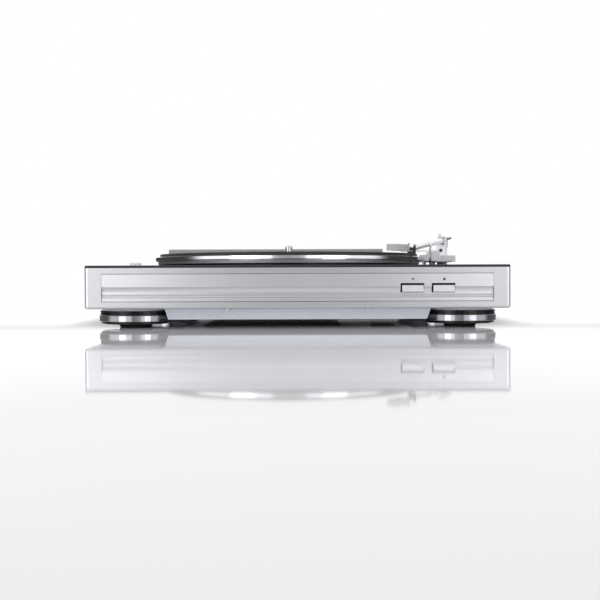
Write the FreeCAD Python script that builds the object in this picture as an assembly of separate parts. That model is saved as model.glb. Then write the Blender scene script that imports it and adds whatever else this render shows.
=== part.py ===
import FreeCAD, Part
import math
import os

os.makedirs("parts", exist_ok=True)

V = FreeCAD.Vector

# The frame stands on the floor at z = 0, with +X to the right and +Y to the back
# Its origin is under the plinth's centre, and all sizes are in millimetres

# Plinth
plinth_width = 360.0
plinth_depth = 357.0
plinth_underside = 16.5
case_height = 34.7
deck_thickness = 2.2
corner_radius = 3.0
side_wall = 2.6
front_wall = 6.2
case_skin = 2.6
case_edge_round = 1.8
deck_edge_round = 0.9
seat_gap = 0.3

# Front strip, measured down from its top edge and in from the plinth's front face
strip_side_margin = 14.5
strip_height = 23.7
strip_top_below_deck = 7.2
strip_recess_depth = 3.4
strip_face_inset = 0.3
strip_gap = 0.15
strip_edge_bevel = 0.4
strip_flat_height = 10.8
strip_crease_height = 0.8
strip_crease_inset = 1.0
strip_cove_height = 7.9
strip_cove_depth = 2.4
strip_cove_rise = 0.6
strip_lip_inset = 0.6
strip_ledge_inset = 1.3
strip_ledge_step = 0.5

# Buttons
start_x = 96.9
stop_x = 123.2
button_z = 33.8
button_opening_width = 19.9
button_opening_height = 7.9
button_gap_left = 1.5
button_gap_right = 0.35
button_gap_above = 1.6
button_gap_below = 0.4
button_recess = 0.5
button_thickness = 4.2
button_edge_round = 0.6
button_travel = 1.5
stem_width = 8.0
stem_height = 3.2
stem_length = 9.0
switch_size = 6.0
switch_depth = 4.0

# Bottom tray
tray_thickness = 2.2
skirt_side_inset = 65.0
skirt_front_inset = 20.0
skirt_back_inset = 34.0
skirt_draft = 3.0
skirt_drop = 9.7
skirt_wall = 2.5
foot_pocket_gap = 1.4

# Feet
foot_side_inset = 36.8
foot_end_inset = 44.0
foot_pad_radius = 14.0
foot_pad_height = 2.7
foot_base_radius = 29.8
foot_base_top = 4.9
foot_base_chamfer = 2.4
foot_base_chamfer_height = 0.8
foot_ring_radius = 31.5
foot_ring_top = 10.6
foot_ring_wall = 1.8
foot_ring_bevel = 0.5
foot_pad_bevel = 0.6
foot_collar_radius = 30.7
foot_collar_top = 14.4
foot_groove_height = 0.5
foot_groove_depth = 0.6
foot_shoulder_radius = 29.2
foot_shoulder_top_radius = 28.4
foot_screw_radius = 2.0
foot_screw_depth = 9.0
foot_screw_head_radius = 4.0
foot_screw_head_height = 2.0

# Platter and its bearing
platter_x = -9.0
platter_y = -8.5
platter_lip_radius = 132.0
platter_lip_bottom = 58.8
platter_lip_top = 62.4
platter_edge_bevel = 0.8
platter_top_radius = 128.8
platter_top = 63.4
platter_plate = 3.2
platter_skirt_radius = 129.6
platter_skirt_bottom = 55.6
platter_skirt_bevel = 0.4
platter_skirt_wall = 3.4
drive_ring_radius = 93.5
drive_ring_wall = 2.6
mat_radius = 127.8
mat_thickness = 2.4
mat_edge_bevel = 0.5
mat_label_radius = 51.0
mat_label_step = 0.4
mat_hole_radius = 4.6
hub_radius = 9.6
bush_radius = 6.0
spindle_radius = 3.55
spindle_journal_radius = 3.8
running_clearance = 0.05
spindle_top = 74.9
spindle_nose = 2.2
spindle_bottom = 30.0
well_radius = 127.0
well_floor = 40.0
well_floor_thickness = 2.5
well_wall = 2.5
post_radius = 8.0
post_flange_radius = 16.0
post_flange_thickness = 3.0
thrust_washer_thickness = 0.4
hub_gap = 0.1
post_above_well = 0.6
pinion_teeth = 24
gear_module = 1.0
gear_root_depth = 1.25
gear_root_share = 0.30
gear_tip_share = 0.14
pinion_height = 4.6
pinion_bottom_above_well = 2.0

# Automatic cam gear
cam_teeth = 64
cam_direction = -20.0
cam_height = 4.0
cam_bottom_above_well = 2.2
cam_gap_half_angle = 22.0
cam_mesh_gap = 0.2
cam_post_radius = 3.0
cam_post_flange_radius = 6.0
cam_post_flange_thickness = 2.0
cam_hub_radius = 6.5
cam_hub_extra = 1.2
cam_track_radius = 20.0
cam_track_width = 3.0
cam_track_depth = 1.6

# Drive
motor_beyond_ring = 14.5
motor_direction = 150.0
motor_radius = 15.0
motor_height = 18.0
motor_shaft_radius = 1.0
motor_screw_circle = 10.5
motor_grip = 3.0
motor_edge_round = 1.5
motor_end_thickness = 4.0
pulley_radius = 4.5
pulley_flange = 1.4
pulley_flange_thickness = 0.8
pulley_side_gap = 0.3
ring_below_belt = 1.0
belt_width = 5.0
belt_thickness = 0.6
belt_gap = 0.3
belt_bottom_above_well = 2.4

# Trip solenoid under the well
solenoid_x = 74.0
solenoid_y = -20.0
solenoid_length = 20.0
solenoid_width = 14.0
solenoid_height = 13.0
plunger_radius = 2.5
plunger_out = 7.0
plunger_in = 4.0
plunger_end_gap = 1.0
plunger_head = 1.5
plunger_travel = 3.0

# Speed knob
knob_side_inset = 37.7
knob_front_inset = 40.0
knob_radius = 4.8
knob_height = 3.1
knob_edge_round = 1.2
knob_lift = 0.3
knob_shaft_radius = 2.0
knob_shaft_in_switch = 3.0
knob_bar_width = 1.8
knob_bar_inset = 1.6
knob_bar_root = 1.0
knob_bar_height = 0.2
speed_switch_size = 12.0
speed_switch_height = 6.0

# Rear rail
rail_left_inset = 31.0
rail_right_inset = 82.5
rail_back_inset = 22.0
rail_depth = 9.0
rail_top = 76.0
rail_edge_round = 1.5

# Tonearm
pivot_x = 153.7
pivot_y = 61.5
rest_x = 105.1
rest_y = -86.5
pivot_z = 81.85
tube_front_z = 69.4
tube_radius = 2.15
tube_wall = 0.45
bend_before_rest = 12.0
bend_run = 5.0
collar_past_rest = 23.0
collar_length = 5.5
collar_radius = 2.7
sleeve_start = 9.5
sleeve_end = 70.0
sleeve_radius = 2.9
headshell_length = 24.5
headshell_wide_length = 18.0
headshell_offset = 22.0
headshell_width = 10.0
headshell_rear_width = 6.4
headshell_nose_width = 7.2
headshell_taper = 4.0
headshell_top = 72.4
headshell_plate = 1.3
headshell_wall = 0.9
headshell_bottom = 66.75
tube_in_headshell = 3.0
cartridge_rear = 4.0
cartridge_front = 17.5
cartridge_bottom = 66.8
cartridge_gap = 0.1
stylus_rear = 13.5
stylus_front = 17.0
stylus_height = 1.6
stylus_width = 4.0
stylus_tip = 66.35
stylus_tip_at = 18.6
stylus_rod = 0.5
stylus_point_radius = 0.05
finger_at = 5.0
finger_width = 1.8
finger_thickness = 0.8
finger_reach = 2.6
finger_top = 73.6
turret_front = 7.0
turret_back = 5.5
turret_width = 9.4
turret_bottom = 65.9
turret_top = 77.0
turret_round = 1.2
turret_bore_depth = 6.0
turret_screw_radius = 1.8
turret_screw_shank = 1.0
turret_screw_length = 3.6
turret_screw_z = 71.2
turret_screw_proud = 0.7
ear_thickness = 1.6
ear_half_depth = 4.4
ear_top = 84.9
ear_gap = 0.3
ear_root = 1.0
pin_radius = 1.0
pin_inner = 2.45
housing_top = 86.1
housing_front = 9.0
housing_back = 9.2
housing_bottom = 78.7
housing_round = 0.8
weight_length = 5.6
weight_width = 6.8
weight_bottom = 74.2
balance_rod_radius = 1.2
balance_rod_start = 6.5
balance_rod_end = 50.0
bearing_screw_radius = 1.1
bearing_screw_height = 2.7
bearing_screw_depth = 1.6
bearing_screw_side = -1.2
bearing_screw_ahead = 6.8

# Arm base, its bearing and what sits under the deck
base_left = 131.0
base_right = 163.3
base_front = 26.5
base_back = 83.5
base_bottom = 59.0
base_top = 65.4
base_round = 2.0
base_wing_left = 125.5
base_column_radius = 5.4
arm_bearing_radius = 4.3
arm_shaft_radius = 3.0
arm_shaft_bottom = 26.0
arm_bearing_bottom = 31.0
sector_radius = 34.0
sector_hub_radius = 6.0
sector_width = 12.0
sector_thickness = 2.0
sector_bottom = 27.0
sector_hub_extra = 1.0
sector_turn = 200.0
tower_left = 132.8
tower_right = 142.0
tower_front = -13.5
tower_top = 68.5
tower_wall = 1.6
tower_round = 1.0
tower_leg_width = 5.0
tower_leg_front = 8.0
tower_leg_depth = 12.0
base_leg_width = 1.6
base_leg_depth = 20.0

# Cue lever and lift bar
lever_x = 131.9
lever_y = -9.1
lever_z = 63.2
lever_thickness = 1.5
lever_depth = 2.4
lever_length = 14.6
lever_lean = 30.0
lever_hub_radius = 2.9
lever_shaft_radius = 1.5
lever_slot_gap = 0.3
crank_length = 14.0
crank_thickness = 1.6
crank_width = 2.4
crank_angle = 22.0
crank_gap = 0.3
lift_rod_x = 137.3
lift_rod_radius = 1.5
lift_radius = 62.0
lift_bar_top = 70.0
lift_bar_thickness = 1.2
lift_bar_width = 2.4
lift_bar_lead = 7.0
lift_bar_sweep = 38.0

# Arm rest and its clip
rest_post_radius = 1.2
rest_flange_radius = 3.6
rest_flange_height = 1.4
saddle_depth = 3.0
saddle_height = 2.4
saddle_left = 3.0
saddle_gap = 0.3
prong_thickness = 2.0
prong_top = 71.85
clip_pin_radius = 0.6
clip_pin_depth = 2.8
clip_head_radius = 1.1
clip_head_height = 0.75
clip_gap = 0.1
clip_thickness = 0.9
clip_length = 5.5
clip_width = 1.8

# Electronics and fasteners
board_length = 92.0
board_width = 58.0
board_thickness = 1.6
board_x = 10.0
board_y = 92.0
board_standoff = 3.6
transformer_side_inset = 37.0
transformer_y = 106.0
transformer_length = 44.0
transformer_width = 36.0
transformer_height = 24.0
gland_radius = 6.0
gland_bore = 2.2
gland_flange = 8.0
gland_flange_thickness = 2.0
mains_gland_x = -120.0
signal_gland_x = -88.0
gland_z = 30.0
screw_radius = 1.5
screw_head_radius = 2.8
screw_head_height = 1.2
boss_radius = 4.0
boss_side_inset = 10.0
boss_side_y = 92.0
boss_end_x = 60.0
boss_end_inset = 10.5
boss_grip = 9.0
hatch_width = 120.0
hatch_side_inset = 22.0
hatch_y = 40.0
hatch_thickness = 1.2
hatch_drop = 3.4
hatch_edge_round = 1.5
hatch_flange = 1.0
cap_side_inset = 29.5
cap_y = 4.0
hatch_cap_gap = 30.7
cap_radius = 12.8
cap_drop = 3.4
cap_stem_radius = 3.0
cap_head_radius = 4.2
cap_head_height = 1.2
chip_length = 18.0
chip_width = 7.5
chip_height = 3.2
capacitor_radius = 5.0
capacitor_height = 12.0
connector_length = 12.0
connector_width = 6.0
connector_height = 7.0
connector_drop = 22.0
chip_left = 20.0
chip_right = 8.0
capacitor_row = 16.0
capacitor_far = 30.0
capacitor_near = 16.0
capacitor_round = 0.6
connector_left = 10.0
connector_right = 12.0

# Heights and places that follow from the sizes above
strip_width = plinth_width - 2 * strip_side_margin
skirt_half_width = plinth_width / 2 - skirt_side_inset
foot_x = plinth_width / 2 - foot_side_inset
case_top = plinth_underside + case_height
deck_top = case_top + deck_thickness
front_y = -plinth_depth / 2
back_y = plinth_depth / 2
skirt_bottom = plinth_underside - skirt_drop
tray_top = plinth_underside + tray_thickness
skirt_floor = skirt_bottom + skirt_wall
well_underside = well_floor - well_floor_thickness
strip_top = deck_top - strip_top_below_deck
strip_bottom = strip_top - strip_height
foot_y = plinth_depth / 2 - foot_end_inset
mat_top = platter_top + mat_thickness
hub_bottom = well_floor + post_above_well + thrust_washer_thickness + hub_gap
cam_distance = gear_module * (pinion_teeth + cam_teeth) / 2 + cam_mesh_gap
cam_x = platter_x + cam_distance * math.cos(math.radians(cam_direction))
cam_y = platter_y + cam_distance * math.sin(math.radians(cam_direction))
motor_distance = drive_ring_radius + motor_beyond_ring
motor_x = platter_x + motor_distance * math.cos(math.radians(motor_direction))
motor_y = platter_y + motor_distance * math.sin(math.radians(motor_direction))
motor_top = well_underside
motor_screw_places = [
    (
        motor_x + motor_screw_circle * math.cos(math.radians(turn)),
        motor_y + motor_screw_circle * math.sin(math.radians(turn)),
    )
    for turn in (0, 120, 240)
]
knob_x = knob_side_inset - plinth_width / 2
knob_y = front_y + knob_front_inset
rail_left = rail_left_inset - plinth_width / 2
rail_right = plinth_width / 2 - rail_right_inset
rail_y = back_y - rail_back_inset
transformer_x = transformer_side_inset - skirt_half_width
hatch_left = hatch_side_inset - skirt_half_width
cap_x = skirt_half_width - cap_side_inset
hatch_right = cap_x - cap_radius - hatch_cap_gap
boss_x = plinth_width / 2 - boss_side_inset
boss_end_y = plinth_depth / 2 - boss_end_inset
rest_distance = math.hypot(rest_x - pivot_x, rest_y - pivot_y)
arm_angle = math.degrees(math.atan2(rest_y - pivot_y, rest_x - pivot_x))
bend_distance = rest_distance - bend_before_rest
tube_slope = (pivot_z - tube_front_z) / bend_distance
collar_distance = rest_distance + collar_past_rest
feet = [(side * foot_x, end * foot_y) for side in (-1, 1) for end in (-1, 1)]

# Two lengths closer than this count as the same when edges are picked
same = 1e-6


def save(node, shape):
    shape.exportStep(f"parts/{node}.step")


def box(x0, x1, y0, y1, z0, z1):
    return Part.makeBox(x1 - x0, y1 - y0, z1 - z0, V(x0, y0, z0))


def cylinder(x, y, z0, z1, radius):
    return Part.makeCylinder(radius, z1 - z0, V(x, y, z0))


def cylinder_x(x0, x1, y, z, radius):
    return Part.makeCylinder(radius, x1 - x0, V(x0, y, z), V(1, 0, 0))


def cylinder_y(x, y0, y1, z, radius):
    return Part.makeCylinder(radius, y1 - y0, V(x, y0, z), V(0, 1, 0))


def ring(x, y, z0, z1, outer, inner):
    return cylinder(x, y, z0, z1, outer).cut(cylinder(x, y, z0, z1, inner))


def revolve(outline, x=0.0, y=0.0):
    points = [V(r, 0, z) for r, z in outline]
    face = Part.Face(Part.makePolygon(points + points[:1]))
    solid = face.revolve(V(0, 0, 0), V(0, 0, 1), 360)
    solid.translate(V(x, y, 0))
    return solid


def round_upright_edges(shape, radius):
    edges = [e for e in shape.Edges if e.BoundBox.XLength < same and e.BoundBox.YLength < same]
    return shape.makeFillet(radius, edges)


def round_edges_at(shape, radius, z):
    level = [e for e in shape.Edges if e.BoundBox.ZLength < same]
    edges = [e for e in level if abs(e.BoundBox.ZMin - z) < same]
    return shape.makeFillet(radius, edges)


def rounded_box(x0, x1, y0, y1, z0, z1, radius):
    return round_upright_edges(box(x0, x1, y0, y1, z0, z1), radius)


def prism(points, height):
    face = Part.Face(Part.makePolygon(points + points[:1]))
    return face.extrude(V(0, 0, height))


def on_arm(shape):
    """Turns a shape drawn with +X from the pivot towards the stylus to the arm's place at rest."""
    shape.rotate(V(0, 0, 0), V(0, 0, 1), arm_angle)
    shape.translate(V(pivot_x, pivot_y, 0))
    return shape


def on_headshell(shape):
    """Turns a shape drawn with +X from the collar's front to the nose to its offset place on the arm."""
    shape.rotate(V(0, 0, 0), V(0, 0, 1), -headshell_offset)
    shape.translate(V(collar_distance, 0, 0))
    return on_arm(shape)


def screw(x, y, under_head, length, down=True):
    """A pan-head screw whose head's flat is at under_head, with its shank going down or up from there."""
    if down:
        head = cylinder(x, y, under_head, under_head + screw_head_height, screw_head_radius)
        return head.fuse(cylinder(x, y, under_head - length, under_head, screw_radius))
    head = cylinder(x, y, under_head - screw_head_height, under_head, screw_head_radius)
    return head.fuse(cylinder(x, y, under_head, under_head + length, screw_radius))


def gear(teeth, height, bottom, gap_half_angle=0.0, gap_direction=0.0):
    """A spur gear of straight-sided teeth, which can leave out the teeth beside one direction."""
    pitch_radius = gear_module * teeth / 2
    root = pitch_radius - gear_root_depth * gear_module
    tip = pitch_radius + gear_module
    pitch = 360.0 / teeth
    points = []
    for number in range(teeth):
        middle = number * pitch + pitch / 2
        from_gap = abs((middle - gap_direction + 180.0) % 360.0 - 180.0)
        toothed = from_gap > gap_half_angle
        rising = ((-gear_root_share, root), (-gear_tip_share, tip))
        falling = ((gear_tip_share, tip), (gear_root_share, root))
        for share, radius in rising + falling:
            angle = math.radians(middle + share * pitch)
            reach = radius if toothed else root
            points.append(V(reach * math.cos(angle), reach * math.sin(angle), bottom))
    return prism(points, height)


# Screw bosses carry the tray under the case, and these are their places
tray_bosses = [(side * boss_x, end * boss_side_y) for side in (-1, 1) for end in (-1, 1)]
tray_bosses += [(side * boss_end_x, end * boss_end_y) for side in (-1, 1) for end in (-1, 1)]


# Plinth case: an open-bottomed moulded box with a round well in its top for the platter's underside
half_width = plinth_width / 2
case = rounded_box(-half_width, half_width, front_y, back_y, plinth_underside, case_top, corner_radius)
case = round_edges_at(case, case_edge_round, plinth_underside)
hollow = box(
    -half_width + side_wall, half_width - side_wall, front_y + front_wall, back_y - side_wall,
    plinth_underside, case_top - case_skin,
)
case = case.cut(hollow)
case = case.fuse(cylinder(platter_x, platter_y, well_underside, case_top, well_radius + well_wall))
case = case.cut(cylinder(platter_x, platter_y, well_floor, case_top, well_radius))
case = case.cut(box(
    -strip_width / 2 - strip_gap, strip_width / 2 + strip_gap, front_y, front_y + strip_recess_depth,
    strip_bottom - strip_gap, strip_top + strip_gap,
))
bosses = [cylinder(x, y, tray_top, case_top - case_skin / 2, boss_radius) for x, y in tray_bosses]
case = case.fuse(bosses)
case = case.cut([cylinder(x, y, tray_top, tray_top + boss_grip, screw_radius) for x, y in tray_bosses])
for x in (start_x, stop_x):
    case = case.cut(box(
        x - button_opening_width / 2, x + button_opening_width / 2, front_y, front_y + front_wall,
        button_z - button_opening_height / 2, button_z + button_opening_height / 2,
    ))
case_holes = [
    cylinder(platter_x, platter_y, well_underside, well_floor, post_radius),
    cylinder(cam_x, cam_y, well_underside, well_floor, cam_post_radius),
    cylinder(motor_x, motor_y, well_underside, well_floor, motor_shaft_radius + seat_gap),
    cylinder(pivot_x, pivot_y, case_top - case_skin, case_top, arm_bearing_radius),
    cylinder(knob_x, knob_y, case_top - case_skin, case_top, knob_shaft_radius + running_clearance),
]
for x in (mains_gland_x, signal_gland_x):
    case_holes.append(cylinder_y(x, back_y - side_wall, back_y, gland_z, gland_radius))
case_holes += [cylinder(x, y, well_underside, well_floor, screw_radius) for x, y in motor_screw_places]
case = case.cut(case_holes)
save("plinth_case", case)

# Dark deck panel, whose edge is the dark band along the plinth's top
deck = rounded_box(-half_width, half_width, front_y, back_y, case_top, deck_top, corner_radius)
deck = round_edges_at(deck, deck_edge_round, deck_top)
deck = deck.cut([
    cylinder(platter_x, platter_y, case_top, deck_top, well_radius),
    cylinder(pivot_x, pivot_y, case_top, deck_top, arm_bearing_radius),
    cylinder(knob_x, knob_y, case_top, deck_top, knob_shaft_radius + running_clearance),
])
save("deck_panel", deck)

# Front strip: one moulding with a flat face, a crease, a concave cove and a lower ledge
face_in = front_y + strip_face_inset
flat_end = strip_top - strip_edge_bevel - strip_flat_height
cove_start = flat_end - strip_crease_height
cove_end = cove_start - strip_cove_height
ledge_in = front_y + strip_ledge_inset
back_in = front_y + strip_recess_depth - seat_gap
bevel_in = face_in + strip_edge_bevel


def strip_point(y, z):
    return V(-strip_width / 2, y, z)


def strip_line(start, end):
    return Part.LineSegment(strip_point(*start), strip_point(*end)).toShape()


cove = Part.Arc(
    strip_point(front_y + strip_crease_inset, cove_start),
    strip_point(front_y + strip_cove_depth, (cove_start + cove_end) / 2 + strip_cove_rise),
    strip_point(front_y + strip_lip_inset, cove_end),
).toShape()
above_cove = [
    (back_in, strip_top), (bevel_in, strip_top), (face_in, strip_top - strip_edge_bevel),
    (face_in, flat_end), (front_y + strip_crease_inset, cove_start),
]
below_cove = [
    (front_y + strip_lip_inset, cove_end), (ledge_in, cove_end - strip_ledge_step),
    (ledge_in, strip_bottom + strip_edge_bevel), (ledge_in + strip_edge_bevel, strip_bottom),
    (back_in, strip_bottom),
]
edges = [strip_line(a, b) for a, b in zip(above_cove, above_cove[1:])]
edges.append(cove)
edges += [strip_line(a, b) for a, b in zip(below_cove, below_cove[1:])]
edges.append(strip_line(below_cove[-1], above_cove[0]))
strip = Part.Face(Part.Wire(edges)).extrude(V(strip_width, 0, 0))
for x in (start_x, stop_x):
    strip = strip.cut(box(
        x - button_opening_width / 2, x + button_opening_width / 2, front_y, front_y + strip_recess_depth,
        button_z - button_opening_height / 2, button_z + button_opening_height / 2,
    ))
save("front_strip", strip)

# Push buttons, each a cap with a stem that reaches through the case to its switch
# Each cap sits low and to the right in its opening, as the dark gaps above and to its left show
cap_front = front_y + button_recess
cap_back = cap_front + button_thickness
stem_end = cap_back + stem_length
switch_front = stem_end + seat_gap + button_travel
for node, x in (("start_button", start_x), ("stop_button", stop_x)):
    cap = box(
        x - button_opening_width / 2 + button_gap_left, x + button_opening_width / 2 - button_gap_right,
        cap_front, cap_back,
        button_z - button_opening_height / 2 + button_gap_below,
        button_z + button_opening_height / 2 - button_gap_above,
    )
    front_edges = [e for e in cap.Edges if e.BoundBox.YMax < cap_front + same]
    cap = cap.makeFillet(button_edge_round, front_edges)
    stem = box(
        x - stem_width / 2, x + stem_width / 2, cap_back, stem_end,
        button_z - stem_height / 2, button_z + stem_height / 2,
    )
    save(node, cap.fuse(stem))

# Switch board behind the buttons, with one push switch for each
board_front = switch_front + switch_depth
switch_board = box(
    start_x - switch_size * 2, stop_x + switch_size * 2, board_front, board_front + board_thickness,
    tray_top + seat_gap, button_z + switch_size,
)
save("switch_board", switch_board)
switches = []
for x in (start_x, stop_x):
    body = box(
        x - switch_size / 2, x + switch_size / 2, switch_front, board_front,
        button_z - switch_size / 2, button_z + switch_size / 2,
    )
    switches.append(body)
save("button_switches", Part.makeCompound(switches))

# Bottom tray: a flange inside the case walls, with a hollow tapered skirt below it
# The skirt has round pockets for the feet
tray = box(
    -half_width + side_wall + seat_gap, half_width - side_wall - seat_gap,
    front_y + front_wall + seat_gap, back_y - side_wall - seat_gap, plinth_underside, tray_top,
)
skirt_front = front_y + skirt_front_inset
skirt_back = back_y - skirt_back_inset


def skirt_solid(inset, bottom, top):
    """The tapered skirt drawn in by inset, as a loft between its outline at two heights."""
    outlines = []
    for z in (bottom, top):
        drawn_in = inset + skirt_draft * (plinth_underside - z) / skirt_drop
        x = skirt_half_width - drawn_in
        corners = [
            V(-x, skirt_front + drawn_in, z), V(x, skirt_front + drawn_in, z),
            V(x, skirt_back - drawn_in, z), V(-x, skirt_back - drawn_in, z),
        ]
        outlines.append(Part.makePolygon(corners + corners[:1]))
    return Part.makeLoft(outlines, True, True)


def foot_pockets(radius, bottom, top):
    return [cylinder(x, y, bottom, top, radius) for x, y in feet]


pocket_radius = foot_ring_radius + foot_pocket_gap
outside = skirt_solid(0.0, skirt_bottom, plinth_underside)
outside = outside.cut(foot_pockets(pocket_radius, skirt_bottom, plinth_underside))
inside = skirt_solid(skirt_wall, skirt_floor, tray_top)
inside = inside.cut(foot_pockets(pocket_radius + skirt_wall, skirt_floor, tray_top))
tray = tray.fuse(outside).cut(inside)
board_posts = [
    (board_x + sx * (board_length / 2 - boss_radius), board_y + sy * (board_width / 2 - boss_radius))
    for sx in (-1, 1) for sy in (-1, 1)
]
post_top = skirt_floor + board_standoff
tray = tray.fuse([cylinder(x, y, skirt_floor, post_top, boss_radius) for x, y in board_posts])
tray_holes = [cylinder(x, y, plinth_underside, tray_top, screw_radius) for x, y in tray_bosses]
tray_holes += [cylinder(x, y, plinth_underside, tray_top, foot_screw_radius) for x, y in feet]
tray_holes += [cylinder(x, y, skirt_floor, post_top, screw_radius) for x, y in board_posts]
hatch_box = (hatch_left, hatch_right, hatch_y - hatch_width / 2, hatch_y + hatch_width / 2)
tray_holes.append(box(*hatch_box, skirt_bottom, skirt_bottom + hatch_thickness))
tray_holes.append(cylinder(cap_x, cap_y, skirt_bottom, skirt_floor, cap_stem_radius))
tray = tray.cut(tray_holes)
save("bottom_tray", tray)

# Hatch in the tray's underside, with a lid that hangs below it, and a round cap beside it
x0, x1, y0, y1 = hatch_box
hatch = box(
    x0 + seat_gap, x1 - seat_gap, y0 + seat_gap, y1 - seat_gap, skirt_bottom, skirt_bottom + hatch_thickness,
)
hatch_low = skirt_bottom - hatch_drop
lid = rounded_box(
    x0 - hatch_flange, x1 + hatch_flange, y0 - hatch_flange, y1 + hatch_flange, hatch_low, skirt_bottom,
    hatch_edge_round * 2,
)
save("bottom_hatch", hatch.fuse(round_edges_at(lid, hatch_edge_round, hatch_low)))
cap_low = skirt_bottom - cap_drop
cap = round_edges_at(cylinder(cap_x, cap_y, cap_low, skirt_bottom, cap_radius), hatch_edge_round, cap_low)
cap = cap.fuse([
    cylinder(cap_x, cap_y, skirt_bottom, skirt_floor, cap_stem_radius),
    cylinder(cap_x, cap_y, skirt_floor, skirt_floor + cap_head_height, cap_head_radius),
])
save("bottom_cap", cap)
pan_screws = [screw(x, y, plinth_underside, tray_thickness + boss_grip, down=False) for x, y in tray_bosses]

# Feet: a black body, a polished ring round it, a silver shoulder on top and a rubber pad below
ring_inner = foot_ring_radius - foot_ring_wall
groove_middle = (foot_ring_top + foot_collar_top) / 2
groove_low = groove_middle - foot_groove_height / 2
groove_high = groove_middle + foot_groove_height / 2
base_edge = foot_pad_height + foot_base_chamfer_height
base_in = foot_base_radius - foot_base_chamfer
groove_in = foot_collar_radius - foot_groove_depth
body_outline = [
    (0, foot_pad_height), (base_in, foot_pad_height), (foot_base_radius, base_edge),
    (foot_base_radius, foot_base_top), (ring_inner, foot_base_top), (ring_inner, foot_ring_top),
    (foot_collar_radius, foot_ring_top), (foot_collar_radius, groove_low),
    (groove_in, groove_low), (groove_in, groove_high), (foot_collar_radius, groove_high),
    (foot_collar_radius, foot_collar_top), (0, foot_collar_top),
]
ring_outline = [
    (ring_inner, foot_base_top), (foot_ring_radius - foot_ring_bevel, foot_base_top),
    (foot_ring_radius, foot_base_top + foot_ring_bevel), (foot_ring_radius, foot_ring_top - foot_ring_bevel),
    (foot_ring_radius - foot_ring_bevel, foot_ring_top), (ring_inner, foot_ring_top),
]
shoulder_outline = [
    (0, foot_collar_top), (foot_shoulder_radius, foot_collar_top),
    (foot_shoulder_top_radius, plinth_underside), (0, plinth_underside),
]
pad_outline = [
    (0, 0), (foot_pad_radius - foot_pad_bevel, 0), (foot_pad_radius, foot_pad_bevel),
    (foot_pad_radius, foot_pad_height), (0, foot_pad_height),
]
foot_bodies, foot_rings, foot_shoulders, foot_pads, foot_screws = [], [], [], [], []
for x, y in feet:
    shank = cylinder(x, y, plinth_underside - foot_screw_depth, tray_top, foot_screw_radius)
    foot_bodies.append(revolve(body_outline, x, y).cut(shank))
    foot_rings.append(revolve(ring_outline, x, y))
    foot_shoulders.append(revolve(shoulder_outline, x, y).cut(shank))
    foot_pads.append(revolve(pad_outline, x, y))
    head = cylinder(x, y, tray_top, tray_top + foot_screw_head_height, foot_screw_head_radius)
    foot_screws.append(shank.fuse(head))
save("foot_bodies", Part.makeCompound(foot_bodies))
save("foot_rings", Part.makeCompound(foot_rings))
save("foot_shoulders", Part.makeCompound(foot_shoulders))
save("foot_pads", Part.makeCompound(foot_pads))
save("foot_screws", Part.makeCompound(foot_screws))

# Platter: an aluminium casting with a lip, a lower skirt, a belt ring and a hub
disc_underside = platter_top - platter_plate
skirt_inner = platter_skirt_radius - platter_skirt_wall
ring_bottom = well_floor + belt_bottom_above_well - ring_below_belt
ring_in = drive_ring_radius - drive_ring_wall
platter_outline = [
    (bush_radius, platter_top), (platter_top_radius, platter_top), (platter_lip_radius, platter_lip_top),
    (platter_lip_radius, platter_lip_bottom + platter_edge_bevel),
    (platter_lip_radius - platter_edge_bevel, platter_lip_bottom),
    (platter_skirt_radius, platter_lip_bottom),
    (platter_skirt_radius, platter_skirt_bottom + platter_skirt_bevel),
    (platter_skirt_radius - platter_skirt_bevel, platter_skirt_bottom), (skirt_inner, platter_skirt_bottom),
    (skirt_inner, disc_underside), (drive_ring_radius, disc_underside), (drive_ring_radius, ring_bottom),
    (ring_in, ring_bottom), (ring_in, disc_underside), (hub_radius, disc_underside),
    (hub_radius, hub_bottom), (bush_radius, hub_bottom),
]
platter = revolve(platter_outline, platter_x, platter_y)
save("platter", platter)
bush_inner = spindle_journal_radius + running_clearance
save("platter_bush", ring(platter_x, platter_y, hub_bottom, platter_top, bush_radius, bush_inner))
pinion_bottom = well_floor + pinion_bottom_above_well
pinion = gear(pinion_teeth, pinion_height, pinion_bottom)
pinion.translate(V(platter_x, platter_y, 0))
pinion = pinion.cut(cylinder(platter_x, platter_y, pinion_bottom, pinion_bottom + pinion_height, hub_radius))
save("hub_pinion", pinion)

# Rubber mat, with the lower round seat for a record's label
mat_outline = [
    (mat_hole_radius, platter_top), (mat_radius, platter_top), (mat_radius, mat_top - mat_edge_bevel),
    (mat_radius - mat_edge_bevel, mat_top), (mat_label_radius, mat_top),
    (mat_label_radius, mat_top - mat_label_step), (mat_hole_radius, mat_top - mat_label_step),
]
save("platter_mat", revolve(mat_outline, platter_x, platter_y))

# Bearing post, thrust washer and spindle
bearing_top = hub_bottom - hub_gap - thrust_washer_thickness
post_outline = [
    (spindle_journal_radius, well_underside - post_flange_thickness),
    (post_flange_radius, well_underside - post_flange_thickness), (post_flange_radius, well_underside),
    (post_radius, well_underside), (post_radius, bearing_top), (spindle_journal_radius, bearing_top),
]
save("bearing_post", revolve(post_outline, platter_x, platter_y))
washer_top = bearing_top + thrust_washer_thickness
save("thrust_washer", ring(
    platter_x, platter_y, bearing_top, washer_top, post_radius, spindle_journal_radius,
))
journal_top = mat_top - mat_label_step
spindle = cylinder(platter_x, platter_y, journal_top, spindle_top, spindle_radius)
spindle = round_edges_at(spindle, spindle_nose, spindle_top)
spindle = spindle.fuse(cylinder(platter_x, platter_y, spindle_bottom, journal_top, spindle_journal_radius))
save("spindle", spindle)

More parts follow.
